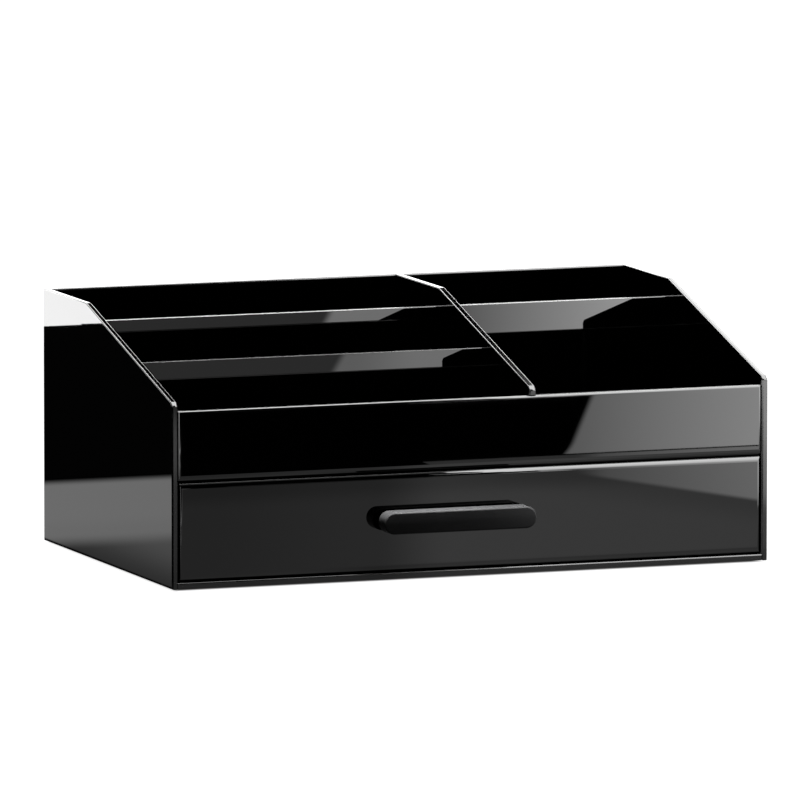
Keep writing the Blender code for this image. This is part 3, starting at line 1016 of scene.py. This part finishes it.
def table_pattern(graph, axes):
    """Brightness of the table top as the sheets reflect it: before the model and then round it, with the
    model's shadow and the shade close round it painted in.
    """
    x, y = axes[X], axes[Y]
    # The x at which the line of sight through a point passes the model's front
    seen = x + (y + 0.092) * VIEW_SLANT
    front = 0.41 + graph.smooth(seen, -0.15, -0.05) * 0.11 + graph.smooth(seen, -0.053, -0.010) * 0.44
    front = front * (1 - graph.smooth(y, -0.373, -0.443) * 0.24)
    # A bright wedge at the right and a dimmer band beside it
    edge = x - 0.1944 - (y + 0.4318) * 0.385
    front = front * (1 - graph.smooth(edge, -0.085, 0.0) * 0.18)
    wedge = graph.smooth(edge, -0.002, 0.013) * graph.smooth(seen, 0.058, 0.080)
    front = graph.mix(wedge, front, 1.5 + (seen - 0.0755) * 19.3)
    # Brighter past the model's left side, and a painted shadow of the model behind a slanting line through
    # its front left corner
    outer = graph.smooth(seen, -0.1615, -0.1635)
    beside = 0.41 + graph.smooth(seen, -0.1690, -0.1650) * 0.6
    beside = beside + graph.math("MAXIMUM", -0.2 - seen, 0) * 5.5
    front = graph.mix(outer, front, beside)
    front = front * graph.smooth((x - CASE_LEFT) * 0.6 - y - 0.0925, -0.012, 0.012)
    # Painted shade close to the drawer, which dims the table there except at its left
    front = front * (1 - graph.smooth(seen, -0.10, -0.03) * graph.smooth(y, -0.155, -0.13) * 0.34)
    # Left of the model a painted shadow: dim near it, brighter outwards and further back, with a painted
    # contact shadow as a dark line along the model's foot
    offset = CASE_LEFT - x
    shadowed_near = 0.14 + graph.smooth(offset, 0.0, 0.06) * 0.22
    left = graph.mix(graph.smooth(y, 0.072, 0.130), shadowed_near, 0.73 + graph.smooth(y, 0.13, 0.2) * 0.05)
    left = left * graph.smooth(offset, 0.0040, 0.0065) * graph.smooth(y, 0.339, 0.309)
    # Right of and behind the model it is dark close to the model and brightens away from it: painted shade
    # round the model
    right = graph.smooth(x, CASE_RIGHT, 0.25) * 0.9
    rear = graph.smooth(y, 0.106, 0.2) * 0.9 * (x > CASE_LEFT)
    around = graph.math("MAXIMUM", graph.math("MAXIMUM", left, right), rear)
    return graph.mix(graph.smooth(y, -0.086, -0.096), around, front)


def front_pattern(graph, axes):
    """Brightness of the big front softbox: rising to the right and with height, with soft left edges."""
    x, z = axes[X], axes[Z]
    # Near the table it rises to the right, more steeply above the flag, and is nearly even at the left
    raised = graph.smooth(z, 0.028, 0.036)
    low = 2.7 + (x - 0.233 - raised * 0.028) * (30 + raised * 22)
    at_left = x < graph.smooth(z, 0.030, 0.033) * 0.014 + 0.21
    low = graph.mix(at_left, low, 2.6 + graph.smooth(x, 0.141, 0.185) * 1.2)
    # Beside the flag the left edge is soft and curves in at its foot
    below = graph.math("MAXIMUM", 0.006 - z, 0)
    fade = graph.smooth(x - 0.2211 - (z - 0.006) * 0.44 + below * below * 45, 0.0, 0.0048)
    low = graph.math("MINIMUM", low, 8.5) * graph.mix(z < 0.0303, 1, fade)
    full = graph.mix(graph.smooth(z, 0.10, 0.36), low, 13.0)
    # Above the flag the two slanting left edges fade to the grey of the card behind
    upper_edge = x - 0.1715 - (graph.math("MINIMUM", z, 0.055) - 0.0424) * 0.59
    lower_edge = x - 0.1297 - (z - 0.0310) * 0.607
    edge = graph.mix(z > 0.0423, lower_edge, upper_edge)
    return graph.mix((z > 0.0310) * (1 - graph.smooth(edge, -0.0015, 0.0048)), full, FRONT_GREY)


def studio_cards(stage):
    """Each card's name, the axis it stands across, its place there, its outline and its brightness."""
    return (
        ("table", Z, 0.0, TABLE, table_pattern),
        ("rear_screen", Y, 0.707, REAR_SCREEN, stage.rear_strength),
        ("front_flag", Y, -0.5337, FRONT_FLAG, 0.0),
        ("front_left", Y, -0.5337, rectangle(-0.15, -0.0016, -0.004, 0.0303), 2.2),
        ("front_grey", Y, -0.5380, rectangle(0.018, 0.20, 0.0303, 0.052), FRONT_GREY),
        ("front_softbox", Y, -0.5340, FRONT_SOFTBOX, front_pattern),
        ("left_screen", X, -0.72, rectangle(-0.9, -0.41, -0.05, 0.32), 9.0),
        ("right_screen", X, 0.85, rectangle(-0.5, 0.5, 0.0, 0.35), 1.6),
        ("rear_left_softbox", Y, 0.71, rectangle(-0.28, 0.05, 0.46, 0.90), 16.0),
        ("rear_right_softbox", Y, 0.71, rectangle(0.432, 1.2, 0.50, 0.90), 5.6),
        ("top_softbox", Z, 0.95, rectangle(-0.45, 0.85, -0.15, 0.30), 17.0),
        ("top_front_softbox", Z, 0.95, rectangle(-0.45, 0.85, -0.35, -0.15), 13.0),
        ("front_high_softbox", Y, -0.9, HIGH_SOFTBOX, 15.0),
        ("front_high_left", Y, -0.901, rectangle(-0.3, 0.80, 1.2, 2.4), 0.5))


class ORGANIZER_OT_stage(bpy.types.Operator):
    """Makes the camera, the pale floor and the soft lights"""
    bl_idname = "organizer.stage"
    bl_label = "Stage"

    def execute(self, context):
        scene = context.scene
        stage = scene.organizer_stage
        scene.view_settings.view_transform = "Standard"
        self.camera(scene, stage.lens)
        self.world(scene)
        self.floor(stage.floor_strength)
        for name, axis, place, outline, brightness in studio_cards(stage):
            card(name, across(axis, place, outline), glow(name, brightness))
        lit = bpy.data.collections.new("lit_by_handle_lamps")
        handle = bpy.data.objects.get("handle_pill")
        if handle:
            lit.objects.link(handle)
        above = across(Z, 0.13, rectangle(-0.045, -0.005, -0.1095, -0.096))
        self.handle_lamp("lamp_above", above, 3000.0, lit)
        self.handle_lamp("lamp_beside", LAMP_BESIDE, 360.0, lit)
        return {"FINISHED"}

    def camera(self, scene, lens):
        data = bpy.data.cameras.new("camera")
        data.lens = lens
        data.sensor_width = SENSOR_WIDTH
        data.clip_end = CLIP_END
        scene.camera = linked("camera", data)
        scene.camera.location = CAMERA_PLACE
        scene.camera.rotation_euler = CAMERA_TURN

    def world(self, scene):
        """A white surround for the camera, with little light from it on the model."""
        made = bpy.data.worlds.get("studio") or bpy.data.worlds.new("studio")
        made.use_nodes = True
        made.node_tree.nodes.clear()
        graph = Graph(made.node_tree)
        seen = graph.field("ShaderNodeLightPath", output="Is Camera Ray")
        glossy = graph.field("ShaderNodeLightPath", output="Is Glossy Ray")
        strength = seen + (1 - seen) * (1 - glossy) * WORLD_FILL + glossy * WORLD_GLEAM
        sky = graph.field("ShaderNodeBackground", {"Color": WHITE, "Strength": strength})
        graph.node("ShaderNodeOutputWorld", {"Surface": sky})
        scene.world = made

    def floor(self, brightness):
        """A pale floor that glows except under the case: the glow cut there paints the shade in the gap
        under the base, on top of the real shade its diffuse part takes. Reflections show the table card
        instead of it.
        """
        material, graph = new_material("floor")
        x, y = graph.axes(graph.place())[:2]
        inside = graph.math("MINIMUM", CASE_RIGHT - graph.math("ABSOLUTE", x),
                            CASE_HALF_DEPTH - graph.math("ABSOLUTE", y - CASE_MIDDLE))
        diffuse = graph.field("ShaderNodeBsdfDiffuse", {"Color": (0.85, 0.85, 0.85, 1)})
        # The glow fades out within 7 mm inside the case's outline: painted shade under the base
        strength = brightness * graph.smooth(inside, 0.007, 0.0)
        light = graph.field("ShaderNodeEmission", {"Strength": strength})
        graph.end_surface(graph.field("ShaderNodeAddShader", {0: diffuse, 1: light}))
        outline = rectangle(-FLOOR_REACH, FLOOR_REACH, -FLOOR_REACH, FLOOR_REACH)
        made = stage_sheet("floor", across(Z, 0, outline), material)
        made.visible_glossy = False
        made.visible_diffuse = False

    def handle_lamp(self, name, corners, brightness, lit):
        """A small card that lights what a collection holds and nothing else."""
        material = glow(name, brightness, direct=True)
        material.cycles.emission_sampling = "AUTO"
        lamp = card(name, corners, material)
        lamp.visible_diffuse = True
        lamp.visible_glossy = False
        lamp.light_linking.receiver_collection = lit


class ORGANIZER_PT_panel(bpy.types.Panel):
    """Lists the organizer's pieces and sizes"""
    bl_idname = "ORGANIZER_PT_panel"
    bl_label = "Bathroom organizer"
    bl_space_type = "VIEW_3D"
    bl_region_type = "UI"
    bl_category = "Organizer"

    def draw(self, context):
        layout = self.layout
        for step in STEPS:
            layout.operator(step.bl_idname)
        for name in GROUPS:
            group = getattr(context.scene, name)
            box = layout.box()
            box.label(text=name.removeprefix("organizer_").capitalize())
            for size in group.__annotations__:
                box.prop(group, size)


STEPS = (ORGANIZER_OT_side_panels, ORGANIZER_OT_back_base_deck, ORGANIZER_OT_fascia,
         ORGANIZER_OT_partitions, ORGANIZER_OT_drawer_front, ORGANIZER_OT_drawer_box,
         ORGANIZER_OT_handle_bar, ORGANIZER_OT_handle_fixings, ORGANIZER_OT_pads, ORGANIZER_OT_stage)
GROUPS = {"organizer_sheets": OrganizerSheets, "organizer_handle": OrganizerHandle,
          "organizer_finishes": OrganizerFinishes, "organizer_stage": OrganizerStage}


def register():
    for group in (*GROUPS.values(), *STEPS, ORGANIZER_PT_panel):
        bpy.utils.register_class(group)
    for name, group in GROUPS.items():
        setattr(bpy.types.Scene, name, PointerProperty(type=group))


def unregister():
    for name in GROUPS:
        delattr(bpy.types.Scene, name)
    for group in (ORGANIZER_PT_panel, *reversed(STEPS), *reversed(list(GROUPS.values()))):
        bpy.utils.unregister_class(group)


def main():
    """Makes every piece and the stage."""
    register()
    bpy.ops.organizer.side_panels()
    bpy.ops.organizer.back_base_deck()
    bpy.ops.organizer.fascia()
    bpy.ops.organizer.partitions()
    bpy.ops.organizer.drawer_front()
    bpy.ops.organizer.drawer_box()
    bpy.ops.organizer.handle_bar()
    bpy.ops.organizer.handle_fixings()
    bpy.ops.organizer.pads()
    bpy.ops.organizer.stage()


if __name__ == "__main__":
    main()
